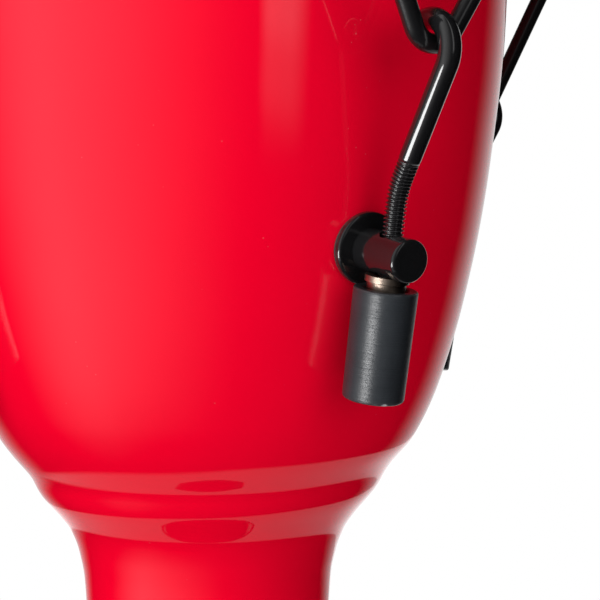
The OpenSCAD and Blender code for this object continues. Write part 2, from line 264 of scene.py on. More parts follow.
def math_node(tree, operation, first, second=None, clamp=False):
    """One Math node; each operand is a socket or a number."""
    node = tree.nodes.new("ShaderNodeMath")
    node.operation = operation
    node.use_clamp = clamp
    for socket, value in zip(node.inputs, (first, second)):
        if value is None:
            continue
        if isinstance(value, bpy.types.NodeSocket):
            tree.links.new(value, socket)
        else:
            socket.default_value = value
    return node.outputs[0]


def noise_node(tree, vector, scale, detail=2.0, roughness=0.5):
    """Noise texture over the given coordinates; its scale is a socket or a number, per metre."""
    node = tree.nodes.new("ShaderNodeTexNoise")
    tree.links.new(vector, node.inputs["Vector"])
    if isinstance(scale, bpy.types.NodeSocket):
        tree.links.new(scale, node.inputs["Scale"])
    else:
        node.inputs["Scale"].default_value = scale
    node.inputs["Detail"].default_value = detail
    node.inputs["Roughness"].default_value = roughness
    return node.outputs["Fac"]


def ramp(tree, value, start, stop, low=0.0, high=1.0, kind="LINEAR"):
    """Number that goes from low to high while value goes from start to stop."""
    node = tree.nodes.new("ShaderNodeMapRange")
    node.interpolation_type = kind
    for label, number in (("From Min", start), ("From Max", stop), ("To Min", low), ("To Max", high)):
        node.inputs[label].default_value = number
    tree.links.new(value, node.inputs["Value"])
    return node.outputs["Result"]


def object_point(tree):
    """Place on the piece, in metres."""
    return tree.nodes.new("ShaderNodeTexCoord").outputs["Object"]


def make_grain_group():
    """Height of a coat: fine orange peel and long soft waves, each with its own size and share."""
    inputs = [("Peel per metre", 900), ("Peel share", 0.4), ("Waves per metre", 25), ("Waves share", 1.0)]
    group, start, end = new_group("coat_grain", inputs, [("Height", "NodeSocketFloat")])
    where = object_point(group)
    peel = noise_node(group, where, start.outputs["Peel per metre"], 1.0)
    waves = noise_node(group, where, start.outputs["Waves per metre"], 1.0)
    fine = math_node(group, "MULTIPLY", peel, start.outputs["Peel share"])
    long = math_node(group, "MULTIPLY", waves, start.outputs["Waves share"])
    group.links.new(math_node(group, "ADD", fine, long), end.inputs["Height"])
    return group


def make_wear_group():
    """Mask of worn edges: where the surface is pointed, broken up by noise."""
    inputs = [("Amount", 0.5), ("Break-up per metre", 400)]
    group, start, end = new_group("edge_wear", inputs, [("Mask", "NodeSocketFloat")])
    where = object_point(group)
    pointed = group.nodes.new("ShaderNodeNewGeometry").outputs["Pointiness"]
    patches = noise_node(group, where, start.outputs["Break-up per metre"], 4.0, 0.65)
    both = math_node(group, "MULTIPLY", ramp(group, pointed, 0.52, 0.62), ramp(group, patches, 0.35, 0.6))
    worn = math_node(group, "MULTIPLY", both, start.outputs["Amount"], clamp=True)
    group.links.new(worn, end.inputs["Mask"])
    return group


def make_dust_group():
    """Mask of sparse dust specks and a thin uneven film that lies mostly on faces that look up."""
    inputs = [("Specks", 0.5), ("Film", 0.5)]
    group, start, end = new_group("dust", inputs, [("Mask", "NodeSocketFloat")])
    where = object_point(group)
    cells = group.nodes.new("ShaderNodeTexVoronoi")
    cells.inputs["Scale"].default_value = 260
    group.links.new(where, cells.inputs["Vector"])
    near = ramp(group, cells.outputs["Distance"], 0.09, 0.03)
    chosen = math_node(group, "GREATER_THAN", noise_node(group, where, 60, 2.0), 0.6)
    specks = math_node(group, "MULTIPLY", near, chosen)
    facing = group.nodes.new("ShaderNodeSeparateXYZ")
    group.links.new(group.nodes.new("ShaderNodeNewGeometry").outputs["Normal"], facing.inputs[0])
    upward = math_node(group, "MULTIPLY", facing.outputs["Z"], noise_node(group, where, 35, 4.0), clamp=True)
    lying = math_node(group, "MULTIPLY", upward, start.outputs["Film"])
    spotted = math_node(group, "MULTIPLY", specks, start.outputs["Specks"])
    group.links.new(math_node(group, "ADD", lying, spotted, clamp=True), end.inputs["Mask"])
    return group


GRAIN = make_grain_group()
WEAR = make_wear_group()
DUST = make_dust_group()
print("node groups:", [group.name for group in bpy.data.node_groups])

# %% Helpers for materials
def new_material(name, **values):
    """Material with one Principled shader; the values are set on the shader's own sockets by name."""
    material = bpy.data.materials.new(name)
    material.use_nodes = True
    tree = material.node_tree
    shader = tree.nodes.get("Principled BSDF")
    for label, value in values.items():
        shader.inputs[label.replace("_", " ")].default_value = value
    return material, tree, shader


def placed(tree, group, **values):
    """A node group placed in a material's tree, with its named inputs set."""
    node = tree.nodes.new("ShaderNodeGroup")
    node.node_tree = group
    for label, value in values.items():
        node.inputs[label.replace("_", " ")].default_value = value
    return node.outputs[0]


def mix_colour(tree, mask, low, high):
    """Colour between low and high by a mask; each is a colour or a socket."""
    node = tree.nodes.new("ShaderNodeMix")
    node.data_type = "RGBA"
    tree.links.new(mask, node.inputs["Factor"])
    for socket, value in ((node.inputs["A"], low), (node.inputs["B"], high)):
        if isinstance(value, bpy.types.NodeSocket):
            tree.links.new(value, socket)
        else:
            socket.default_value = (*value, 1)
    return node.outputs["Result"]


def mix_value(tree, mask, low, high):
    """Number between low and high by a mask."""
    return ramp(tree, mask, 0.0, 1.0, low, high)


def bump(tree, shader, height, distance, strength=1.0):
    """Bump from a height between 0 and 1 that stands for the given distance in metres."""
    node = tree.nodes.new("ShaderNodeBump")
    node.inputs["Distance"].default_value = distance
    node.inputs["Strength"].default_value = strength
    tree.links.new(height, node.inputs["Height"])
    tree.links.new(node.outputs["Normal"], shader.inputs["Normal"])


def dress(piece, material):
    """Gives a piece one material in place of all that it had."""
    piece.data.materials.clear()
    piece.data.materials.append(material)
    return piece

# %% [markdown]
# The gel coat is a deep saturated red under a clear, very smooth coat. What makes it look moulded is that
# the reflections waver a little, so the grain group adds long soft waves and a trace of orange peel.

# %% Red gel coat
def make_gel_coat():
    """Red under a clear coat, with a tone that drifts and a bump of soft waves and faint orange peel."""
    material, tree, shader = new_material("red_gel_coat", Roughness=0.5, Specular_IOR_Level=0.0, IOR=1.5,
                                          Coat_Weight=1.0, Coat_Roughness=0.03, Coat_IOR=1.5)
    where = object_point(tree)
    tone = mix_colour(tree, noise_node(tree, where, 9, 2.0), (0.88, 0.0006, 0.024), (0.82, 0.0005, 0.020))
    dust = placed(tree, DUST, Specks=0.25, Film=0.02)
    tree.links.new(mix_colour(tree, dust, tone, (0.75, 0.25, 0.25)), shader.inputs["Base Color"])
    bump(tree, shader, placed(tree, GRAIN, Peel_per_metre=700, Peel_share=0.02, Waves_per_metre=22,
                              Waves_share=1.0), 0.0006)
    return material


def make_shell_inside():
    """The inside of the moulding is the rough side: laid-up fibre under dull red resin."""
    material, tree, shader = new_material("laid_up_inside", Roughness=0.55)
    where = object_point(tree)
    mat = noise_node(tree, where, 320, 6.0, 0.7)
    resin = mix_colour(tree, mat, (0.16, 0.012, 0.014), (0.34, 0.03, 0.03))
    tree.links.new(resin, shader.inputs["Base Color"])
    bump(tree, shader, mat, 0.0008)
    return material


GEL_COAT = make_gel_coat()
SHELL_INSIDE = make_shell_inside()
print("shell finishes:", GEL_COAT.name, SHELL_INSIDE.name)

# %% [markdown]
# The rods, lugs and hoop are dipped or powder-coated black. The coat is a little thick, so it fills sharp
# corners, wavers slightly, and shows grey where an edge rubs.

# %% Black coats
def make_black_coat(name, shine, roughness, waves, wear):
    """Black coat: shine is the weight of its clear layer, waves the share of its long bumps, and wear how far
    its edges go grey."""
    material, tree, shader = new_material(name, Specular_IOR_Level=0.2, Coat_Weight=shine,
                                          Coat_Roughness=0.045)
    worn = placed(tree, WEAR, Amount=wear)
    dust = placed(tree, DUST, Specks=0.12, Film=0.03)
    colour = mix_colour(tree, worn, (0.0055, 0.0055, 0.006), (0.05, 0.05, 0.052))
    tree.links.new(mix_colour(tree, dust, colour, (0.14, 0.14, 0.14)), shader.inputs["Base Color"])
    where = object_point(tree)
    patchy = noise_node(tree, where, 220, 3.0)
    tree.links.new(mix_value(tree, patchy, roughness * 0.8, roughness * 1.25), shader.inputs["Roughness"])
    bump(tree, shader, placed(tree, GRAIN, Peel_per_metre=900, Peel_share=0.25, Waves_per_metre=120,
                              Waves_share=waves), 0.00012)
    return material


GLOSS_BLACK = make_black_coat("gloss_black_coat", 1.0, 0.16, 1.0, 0.5)
SATIN_BLACK = make_black_coat("satin_black_coat", 0.5, 0.30, 0.8, 0.7)
LUG_BLACK = make_black_coat("lug_black_coat", 0.7, 0.14, 1.0, 0.5)
print("black coats:", GLOSS_BLACK.name, SATIN_BLACK.name, LUG_BLACK.name)

# %% Rubber, steel and skin
def make_boot_rubber():
    """Moulded rubber: charcoal, finely ringed by the mould, bloomed grey, and pale where the rims rub.
    The piece's UV map runs along the boot, from the closed end to the mouth and into the pocket."""
    material, tree, shader = new_material("boot_rubber", Specular_IOR_Level=0.42)
    uv = tree.nodes.new("ShaderNodeUVMap")
    where = object_point(tree)
    stretch = tree.nodes.new("ShaderNodeMapping")
    stretch.inputs["Scale"].default_value = (420, 1.5, 1)
    tree.links.new(uv.outputs["UV"], stretch.inputs["Vector"])
    rings = noise_node(tree, stretch.outputs["Vector"], 1.0, 3.0, 0.6)
    bloom = noise_node(tree, where, 90, 5.0, 0.6)
    worn = placed(tree, WEAR, Amount=1.0)
    base = mix_colour(tree, bloom, (0.003, 0.0035, 0.0045), (0.011, 0.013, 0.016))
    ringed = mix_colour(tree, mix_value(tree, rings, 0.0, 0.35), base, (0.03, 0.034, 0.038))
    dust = placed(tree, DUST, Specks=0.8, Film=0.04)
    edged = mix_colour(tree, worn, ringed, (0.24, 0.25, 0.26))
    tree.links.new(mix_colour(tree, dust, edged, (0.27, 0.27, 0.27)), shader.inputs["Base Color"])
    tree.links.new(mix_value(tree, bloom, 0.30, 0.42), shader.inputs["Roughness"])
    bump(tree, shader, rings, 0.00014)
    return material


def make_plain_rubber():
    """Dull black rubber with a fine grain and dust."""
    material, tree, shader = new_material("black_rubber", Specular_IOR_Level=0.35)
    where = object_point(tree)
    grain = noise_node(tree, where, 700, 4.0, 0.6)
    dust = placed(tree, DUST, Specks=0.5, Film=0.3)
    base = mix_colour(tree, grain, (0.012, 0.012, 0.013), (0.028, 0.028, 0.03))
    tree.links.new(mix_colour(tree, dust, base, (0.2, 0.19, 0.18)), shader.inputs["Base Color"])
    tree.links.new(mix_value(tree, grain, 0.5, 0.72), shader.inputs["Roughness"])
    bump(tree, shader, grain, 0.00015)
    return material


def make_steel(name, dark, light, roughness):
    """Plated steel: metal whose tone and roughness drift, with fine turned scratches."""
    material, tree, shader = new_material(name, Metallic=1.0)
    where = object_point(tree)
    drift = noise_node(tree, where, 260, 4.0, 0.6)
    scratches = noise_node(tree, where, 2600, 2.0, 0.7)
    tree.links.new(mix_colour(tree, drift, dark, light), shader.inputs["Base Color"])
    tree.links.new(mix_value(tree, scratches, roughness * 0.8, roughness * 1.3), shader.inputs["Roughness"])
    bump(tree, shader, scratches, 0.00003)
    return material


def make_drum_skin():
    """Goat skin: warm cream, cloudy, with fine pores and darker flecks."""
    material, tree, shader = new_material("drum_skin", Specular_IOR_Level=0.4, Subsurface_Weight=0.12,
                                          Subsurface_Scale=0.002)
    where = object_point(tree)
    clouds = noise_node(tree, where, 14, 5.0, 0.55)
    pores = noise_node(tree, where, 1400, 3.0, 0.6)
    flecks = ramp(tree, noise_node(tree, where, 130, 3.0, 0.6), 0.66, 0.76)
    base = mix_colour(tree, clouds, (0.78, 0.66, 0.48), (0.60, 0.45, 0.28))
    tree.links.new(mix_colour(tree, flecks, base, (0.34, 0.22, 0.13)), shader.inputs["Base Color"])
    tree.links.new(mix_value(tree, clouds, 0.42, 0.62), shader.inputs["Roughness"])
    bump(tree, shader, pores, 0.00012)
    return material


BOOT_RUBBER = make_boot_rubber()
BLACK_RUBBER = make_plain_rubber()
WARM_STEEL = make_steel("warm_plated_steel", (0.20, 0.15, 0.12), (0.42, 0.34, 0.28), 0.34)
BRIGHT_STEEL = make_steel("bright_plated_steel", (0.48, 0.48, 0.49), (0.66, 0.66, 0.67), 0.28)
DRUM_SKIN = make_drum_skin()
print("materials:", len(bpy.data.materials))

# %% [markdown]
# ## The shell
# The CAD shell is a stack of narrow cones, which would show as bands in a mirror-like coat. Its outline is
# read back from its own points: at each height the outermost points give the outside and the innermost the
# inside. A smooth curve through them is spun into a moulding without facets.

# %% Outline of the CAD shell
THIN = 5 * MM                        # a ring closer together than this holds only one face of the wall
RIM = 3 * MM                         # at the top, where the wall is rounded off, every ring counts


def outline_of(nodes, least=100):
    """Heights of the nodes' rings, with the outer and the inner radius at each: a ring is a height that
    holds many points, so the few points round drilled holes fall away."""
    parts = []
    for node in nodes:
        mesh = frame["nodes"][node].data
        points = np.empty(len(mesh.vertices) * 3, np.float32)
        mesh.vertices.foreach_get("co", points)
        parts.append(points.reshape(-1, 3).astype(float))
    points = np.concatenate(parts)
    radius = np.hypot(points[:, 0], points[:, 1])
    heights, place, count = np.unique(np.round(points[:, 2], 4), return_inverse=True, return_counts=True)
    outer = np.zeros(len(heights))
    np.maximum.at(outer, place, radius)
    inner = np.full(len(heights), np.inf)
    np.minimum.at(inner, place, radius)
    ring = (count >= least) & ((outer - inner > THIN) | (heights > heights[-1] - RIM))
    return heights[ring], outer[ring], inner[ring]


def smooth_through(x, y, at):
    """Cubic Hermite curve through the points (x, y), with the slope at each point taken from its two
    neighbours, worked out at the positions given."""
    slope = np.gradient(y, x)
    i = np.clip(np.searchsorted(x, at) - 1, 0, len(x) - 2)
    width = x[i + 1] - x[i]
    t = (at - x[i]) / width
    return (y[i] * (2 * t**3 - 3 * t**2 + 1) + y[i + 1] * (3 * t**2 - 2 * t**3)
            + width * slope[i] * (t**3 - 2 * t**2 + t) + width * slope[i + 1] * (t**3 - t**2))


ring_z, ring_outer, ring_inner = outline_of(["shell_stem", "shell_bowl"])
print("rings read:", len(ring_z), "widest radius:", round(ring_outer.max(), 4))

# %% The moulded shell
SHELL_COLUMNS = 256
OUTSIDE_ROWS, INSIDE_ROWS = 236, 80
COLLAR = 20 * MM                     # the straight stretch under the rounded rim
CALM = 50 * MM                       # near the rim the waviness dies down over this height
BELT_Z = np.array([250.0, 255.9, 264.4, 272.8, 281.2, 289.7, 298.1, 306.5, 320.0]) * MM
BELT_RISE = np.array([0, -0.1, -0.3, -0.3, 0.2, -0.3, 0.4, 0, 0]) * MM
BELT_DROP = 6 * MM


def shell_surface():
    """Closed band: up the outside, over the round bearing edge, and down the inside. Each radius is the
    smooth curve through the CAD rings at that height, plus a waviness of a few hundredths of a
    millimetre, a sum of cosines of the height and of the angle, as laid-up mouldings have. Round the waist
    the outside rises and falls by the few tenths of a millimetre in BELT_RISE, where the halves are faired.
    That belt hangs BELT_DROP lower everywhere but on the right, as hand-faired work does."""
    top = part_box("shell_bowl")[1][2]
    wall = (ring_outer - ring_inner)[ring_z < top - COLLAR / 2][-1]
    below = ring_z < top - COLLAR
    z_known = np.append(ring_z[below], top - wall / 2)
    outer_known = np.append(ring_outer[below], ring_outer.max())
    inner_known = np.append(ring_inner[below], ring_outer.max() - wall)
    z_outer = np.linspace(z_known[0], z_known[-1], OUTSIDE_ROWS)
    z_inner = np.linspace(z_known[-1], z_known[0], INSIDE_ROWS)
    outside = np.stack([smooth_through(z_known, outer_known, z_outer), z_outer], axis=1)
    inside = np.stack([smooth_through(z_known, inner_known, z_inner), z_inner], axis=1)
    edge = corner_arc((outside[-1, 0] - wall / 2, z_known[-1]), wall / 2, 0, 180, 12)[1:-1]
    outline = np.concatenate([outside, edge, inside])
    turn = np.linspace(0, 2 * math.pi, SHELL_COLUMNS, endpoint=False)
    height = outline[:, 1:]
    wave = (np.cos(70 * height + 3 * turn) + np.cos(115 * height - 5 * turn + 1)
            + 0.7 * np.cos(210 * height + 8 * turn + 2)) * 0.03 * MM
    wave[height[:, 0] > top - CALM] *= 0.3
    radius = outline[:, :1] + wave
    to_right = np.maximum(np.cos(turn - math.atan2(right.y, right.x)), 0)
    belt_height = z_outer[:, None] + BELT_DROP * (1 - to_right**1.5)
    in_belt = (belt_height > BELT_Z[0]) & (belt_height < BELT_Z[-1])
    radius[:OUTSIDE_ROWS] += np.where(in_belt, smooth_through(BELT_Z, BELT_RISE, belt_height), 0.0)
    grid = np.stack([radius * np.cos(turn), radius * np.sin(turn), height + 0 * wave], axis=2)
    return grid, len(outside) + len(edge) // 2


shell_grid, shell_split = shell_surface()
shell = mesh_from_grid("shell_moulding", shell_grid, close_rows=True)
dress(shell, GEL_COAT)
shell.data.materials.append(SHELL_INSIDE)
face_row = np.arange(len(shell.data.polygons)) // SHELL_COLUMNS
shell.data.polygons.foreach_set("material_index", (face_row >= shell_split).astype(np.int32))
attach(shell, "drum")
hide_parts("shell_stem", "shell_bowl")
print("shell faces:", len(shell.data.polygons))

# %% [markdown]
# ## Bars and rods
# Every rod is a round bar bent in one plane. Its centre line is worked out from its curvature alone: the
# curvature adds up to a heading, and the heading adds up to a place. A radius that changes along and round
# the bar then gives threads, heads and rounded tips without any cutting.

# %% Helpers for bent bars
STEP = 1e-5                          # length of the steps that a bent line is summed from


def bent_line(s, bends):
    """Points and headings of a planar line at the distances s. Each bend is (start, length, radius): in it
    the heading grows by one over the radius per unit of length. Heading 0 points along z and grows towards
    x. The place is the running sum of the heading's sine and cosine over very short steps."""
    fine = np.arange(min(s.min(), 0), s.max() + STEP, STEP)
    heading = sum(np.clip(fine - start, 0, length) / radius for start, length, radius in bends)
    middle = (heading[1:] + heading[:-1]) / 2
    x = np.concatenate([[0], np.cumsum(np.sin(middle))]) * STEP
    z = np.concatenate([[0], np.cumsum(np.cos(middle))]) * STEP
    x, z = x - np.interp(0, fine, x), z - np.interp(0, fine, z)
    line = np.stack([np.interp(s, fine, x), 0 * s, np.interp(s, fine, z)], axis=1)
    return line, np.interp(s, fine, heading)


def bar_grid(line, heading, radius, columns=32):
    """Surface round a planar line: at each point a circle stands square to the heading, and every point of
    it lies at its own radius. radius is an array with one row per point and one or more columns."""
    across = np.stack([np.cos(heading), 0 * heading, -np.sin(heading)], axis=1)
    turn = np.linspace(0, 2 * math.pi, columns, endpoint=False)
    spread = across[:, None, :] * np.cos(turn)[None, :, None]
    spread = spread + np.array([0, 1, 0]) * np.sin(turn)[None, :, None]
    return line[:, None, :] + spread * np.broadcast_to(radius, (len(line), columns))[:, :, None]


def round_tip(s_end, radius, count=8):
    """Distances and radii of a half-round tip that begins at s_end."""
    angle = np.linspace(0, math.pi / 2, count)[1:]
    return s_end + radius * np.sin(angle), radius * np.cos(angle)

# %% [markdown]
# ## Tuning rods
# A tuning rod is a length of 5/16 inch bar: its lower end has a rolled 18-to-the-inch thread, it leaves the
# lug straight, leans out, and ends in a hook that holds the foot of the V. The thread is a real helix.

# %% Tuning rods with real threads
PITCH = 25.4 * MM / 18
ROD_RADIUS = 3.97 * MM
THREAD_RADIUS = 3.87 * MM
THREAD_DEPTH = 0.80 * MM
ROD_BELOW, ROD_ABOVE = 40 * MM, 17.5 * MM            # straight lengths below and above the lug's middle
LEAN_RADIUS, LEAN_ANGLE = 30 * MM, math.radians(22.3)
LEAN_THREAD, SHANK = 6 * MM, 42 * MM
HOOK_RADIUS, HOOK_ANGLE = 11 * MM, math.radians(155)

lean_start = ROD_ABOVE
lean_end = lean_start + LEAN_RADIUS * LEAN_ANGLE
hook_start = lean_end + SHANK
hook_end = hook_start + HOOK_RADIUS * HOOK_ANGLE
ROD_BENDS = [(lean_start, lean_end - lean_start, LEAN_RADIUS),
             (hook_start, hook_end - hook_start, -HOOK_RADIUS)]


def hook_rod_grid(columns=36):
    """Bent bar whose radius falls from the crest to the root of the thread and back once in each pitch. The
    phase of the thread is the distance along the rod over the pitch, less the share of the turn round it,
    so the groove climbs as a right-hand helix. The crest is an eighth and the root a quarter of the pitch."""
    thread_end = lean_end + LEAN_THREAD
    threaded = np.arange(-ROD_BELOW, thread_end, PITCH / 10)
    plain = np.arange(thread_end, hook_end, 0.9 * MM)
    tip_s, tip_r = round_tip(hook_end, ROD_RADIUS)
    s = np.concatenate([[-ROD_BELOW], threaded, plain, tip_s])
    base = np.where(s < thread_end, THREAD_RADIUS, ROD_RADIUS)
    base[-len(tip_s):] = tip_r
    base[0] = 0
    line, heading = bent_line(s, ROD_BENDS)
    turn = np.linspace(0, 1, columns, endpoint=False)
    phase = (s[:, None] / PITCH - turn) % 1
    off_crest = np.abs(phase - 0.5) * 2
    groove = np.clip((off_crest - 0.125) / 0.625, 0, 1)
    groove = groove * groove * (3 - 2 * groove)
    depth = THREAD_DEPTH * np.clip((thread_end - s) / (1.6 * PITCH), 0, 1)[:, None]
    depth = depth * (np.arange(len(s)) > 0)[:, None]
    return bar_grid(line, heading, base[:, None] - groove * depth, columns)


ROD_GRID = hook_rod_grid()
for k in SETS:
    rod = mesh_from_grid(f"tuning_rod_{k}", moved(ROD_GRID, LUG[k]))
    dress(rod, GLOSS_BLACK)
    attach(rod, f"hook_{k}")
    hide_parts(f"hook_rod_{k}")

# %% [markdown]
# ## V rods
# Two welded sleeves on the counter hoop hold the limbs of a V, whose round foot hangs in the hook. The
# foot is placed from the middle of the hook and the lowest point of the CAD rod. The limbs end in formed
# heads above the sleeves.

# %% V rods
V_RADIUS = 3.5 * MM
V_BEND = 9.5 * MM
V_HALF_ANGLE = math.radians(28.6)
V_LEAN = math.radians(9)                            # outwards, in line with the pull of the lug
V_LIMB = 84 * MM
V_PAST_HOOK = 1.6 * MM                              # from the middle of the hook outwards to the foot
HEAD_HEIGHT = 4 * MM
HEAD_BACK = np.array([4.01, 4.0, 3.85, 3.5, 1.6, 1.0, 0.4, 0.1, 0, 0]) * MM     # back from the limb's end
HEAD_ROUND = np.array([3.5, 5.5, 5.85, 6.0, 6.0, 5.8, 5.1, 4.0, 2.8, 0]) * MM   # radius of the head there
HALF_STEPS = 20000

hook_line, hook_heading = bent_line(np.array([hook_start]), ROD_BENDS)
hook_across = np.array([math.cos(hook_heading[0]), 0, -math.sin(hook_heading[0])])
hook_middle = hook_line[0] - HOOK_RADIUS * hook_across
hook_middle = LUG[1] @ Vector(hook_middle)
v_foot_rho = -hook_middle.y + V_PAST_HOOK
v_foot_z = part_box("v_rod_1")[0][2] + V_RADIUS


def v_place(k):
    """4 by 4 matrix of the V of set k: z up in the plane of the V, x outwards, leaning out."""
    turn = Matrix.Rotation(math.radians(-90) + 2 * math.pi / len(SETS) * (k - 1), 4, "Z")
    return turn @ Matrix.Translation((v_foot_rho, 0, v_foot_z)) @ Matrix.Rotation(V_LEAN, 4, "Y")


def v_rod_grid(columns=32):
    """Bent bar from head to head. The line starts at the foot of the V, where it runs level, and bends up on
    both sides; the heads are short steps of a larger radius with softened edges."""
    half_bend = V_BEND * (math.pi / 2 - V_HALF_ANGLE)
    end = half_bend + V_LIMB
    head = end - HEAD_BACK
    straight = end - HEAD_HEIGHT - 0.4 * MM
    middle = np.linspace(-straight, straight, 180)
    s = np.concatenate([-head[::-1], middle, head])
    radius = np.concatenate([HEAD_ROUND[::-1], np.full(len(middle), V_RADIUS), HEAD_ROUND])
    fine = np.linspace(-end, end, 2 * HALF_STEPS + 1)
    slope = np.clip(fine / V_BEND, V_HALF_ANGLE - math.pi / 2, math.pi / 2 - V_HALF_ANGLE)
    step = fine[1] - fine[0]
    y, z = np.cumsum(np.cos(slope)) * step, np.cumsum(np.sin(slope)) * step
    y, z = y - y[HALF_STEPS], z - z[HALF_STEPS]
    line = np.stack([0 * s, np.interp(s, fine, y), np.interp(s, fine, z)], axis=1)
    slope = np.interp(s, fine, slope)
    upward = np.stack([0 * s, -np.sin(slope), np.cos(slope)], axis=1)
    turn = np.linspace(0, 2 * math.pi, columns, endpoint=False)
    spread = upward[:, None, :] * np.cos(turn)[None, :, None]
    spread = spread + np.array([1, 0, 0]) * np.sin(turn)[None, :, None]
    return line[:, None, :] + spread * radius[:, None, None]


V_GRID = v_rod_grid()
for k in SETS:
    v_rod = mesh_from_grid(f"v_bar_{k}", moved(V_GRID, v_place(k)))
    dress(v_rod, SATIN_BLACK)
    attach(v_rod, "hoop")
    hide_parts(f"v_rod_{k}")
print("foot of the V at rho", round(v_foot_rho, 4), "z", round(v_foot_z, 4))

# %% [markdown]
# ## Rubber boots
# A boot is a moulded tube, closed at its lower end, that grips the hexagon nut and keeps it from rattling.
# It is a spun outline with rounded rims; the mould leaves fine rings, which the finish adds.

# %% Rubber boots
BOOT_TOP, BOOT_LENGTH = -11.8 * MM, 40.4 * MM
BOOT_RADIUS, BOOT_END_RADIUS = 11.62 * MM, 11.2 * MM
POCKET_RADIUS, BOOT_FLOOR, BOOT_MOUTH = 7.38 * MM, 3 * MM, 1.2 * MM


def boot_outline():
    """From the middle of the closed end, out and up the side, over the rim and down into the pocket."""
    low = BOOT_TOP - BOOT_LENGTH
    corners = [(0, low), (BOOT_END_RADIUS, low), (BOOT_RADIUS, BOOT_TOP),
               (POCKET_RADIUS + BOOT_MOUTH, BOOT_TOP), (POCKET_RADIUS, BOOT_TOP - BOOT_MOUTH),
               (POCKET_RADIUS, low + BOOT_FLOOR), (0, low + BOOT_FLOOR)]
    radii = np.array([0, 1.3, 1.0, 0.5, 0.6, 1.0, 0]) * MM
    rounded = soften(corners, radii, 8)
    rows = dense(rounded, 0.8 * MM)
    last = np.flatnonzero(rows[:, 0] <= 1e-9)
    return rows[:last[last > 2][0] + 1]


BOOT_OUTLINE = boot_outline()
for k in SETS:
    boot = lathe(f"rubber_boot_{k}", BOOT_OUTLINE, 96, LUG[k], closed=False)
    dress(boot, BOOT_RUBBER)
    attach(boot, f"nut_{k}")
    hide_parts(f"nut_boot_{k}")
print("boot rows:", len(BOOT_OUTLINE), "faces:", len(boot.data.polygons))

# %% [markdown]
# ## The skin
# The skin is one sheet: flat over the bearing edge, down the collar, and wrapped round the flesh hoop. It
# is spun from a centre line given a thickness.

# %% Skin
SKIN = 1.2 * MM
EDGE = 3 * MM                        # radius of the shell's bearing edge under the skin


def skin_outline():
    """Centre line from the drum's axis to the wrapped edge, then both faces at half the thickness from it."""
    collar = ring_outer.max()
    flesh_low, flesh_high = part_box("flesh_hoop")
    hoop_r = (flesh_high[2] - flesh_low[2]) / 2
    centre = np.array([flesh_high[0] - hoop_r, (flesh_high[2] + flesh_low[2]) / 2])
    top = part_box("head_skin")[1][2] - SKIN / 2
    shoulder = EDGE + SKIN / 2
    flat = np.stack([np.linspace(0, collar - EDGE, 40)[:-1], np.full(39, top)], axis=1)
    over = corner_arc((collar - EDGE, top - shoulder), shoulder, 90, 0, 10)
    down = np.stack([np.full(16, over[-1, 0]), np.linspace(over[-1, 1], centre[1] + 1 * MM, 17)[1:]], axis=1)
    angle = np.radians(np.linspace(180, 535, 60))
    wide, tight = centre[0] - over[-1, 0], hoop_r + SKIN / 2
    ease = np.clip((angle - angle[0]) / (math.pi / 2), 0, 1)
    reach = wide + (tight - wide) * ease * ease * (3 - 2 * ease)
    wrap = centre + reach[:, None] * np.stack([np.cos(angle), np.sin(angle)], axis=1)
    line = np.concatenate([flat, over, down, wrap])
    along = np.gradient(line, axis=0)
    along /= np.linalg.norm(along, axis=1)[:, None]
    normal = np.stack([-along[:, 1], along[:, 0]], axis=1)
    normal[0] = (0, 1)
    upper, lower = line + normal * SKIN / 2, line - normal * SKIN / 2
    upper[0, 0] = lower[0, 0] = 0
    return np.concatenate([upper, lower[::-1]])


skin = lathe("stretched_skin", skin_outline(), 224, closed=False)
dress(skin, DRUM_SKIN)
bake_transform(skin)
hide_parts("head_skin", "skin_collar", "skin_tuck")
print("skin faces:", len(skin.data.polygons))

# %% [markdown]
# ## The counter hoop and the foot ring
# The hoop is a steel band rolled over at its upper edge, with a lip inside that presses on the wrapped
# skin. The foot ring is a rubber channel. Both are closed outlines with rounded corners, spun round.

# %% Counter hoop
HOOP_WALL = 3 * MM
BEAD = 3.5 * MM                      # radius of the rolled edge
BEAD_MEETS_LIP = 2.8 * MM            # height above the bead's middle at which it runs into the lip
LIP_INSIDE = 128.5 * MM
LIP_ROUND = 0.9 * MM
REACH = 4 * MM                       # to the points that stand for the outline on both sides of the lip


def round_lip(corners):
    """Rounds the three corners of the lip; the outline goes on straight for REACH before and after them."""
    before = np.array([corners[0] + (REACH, 0), corners[0], corners[1]])
    after = np.array([corners[1], corners[2], corners[2] - (0, REACH)])
    t = np.linspace(0, 1, 6)[:, None]
    parts = []
    for a, corner, b in zip(before, corners, after):
        start = corner + (a - corner) / np.linalg.norm(a - corner) * LIP_ROUND
        stop = corner + (b - corner) / np.linalg.norm(b - corner) * LIP_ROUND
        parts.append((1 - t) ** 2 * start + 2 * t * (1 - t) * corner + t ** 2 * stop)
    return np.concatenate(parts)


def hoop_outline():
    """Bottom edge, outer side, rolled bead, lip and inner side, read off the CAD hoop's box."""
    low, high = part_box("counter_hoop")
    middle = high[0] - BEAD
    half = HOOP_WALL / 2
    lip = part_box("skin_tuck")[1][2]
    bead_from = math.degrees(math.asin(half / BEAD)) - 90
    bead_to = 180 + math.degrees(math.asin(BEAD_MEETS_LIP / BEAD))
    under = corner_arc((middle, low[2] + half), half, 180, 360, 12)
    bead = corner_arc((middle, high[2] - BEAD), BEAD, bead_from, bead_to, 40)
    lip_corners = np.array([(LIP_INSIDE, lip + HOOP_WALL), (LIP_INSIDE, lip), (middle - half, lip)])
    return np.concatenate([under, bead, round_lip(lip_corners)])


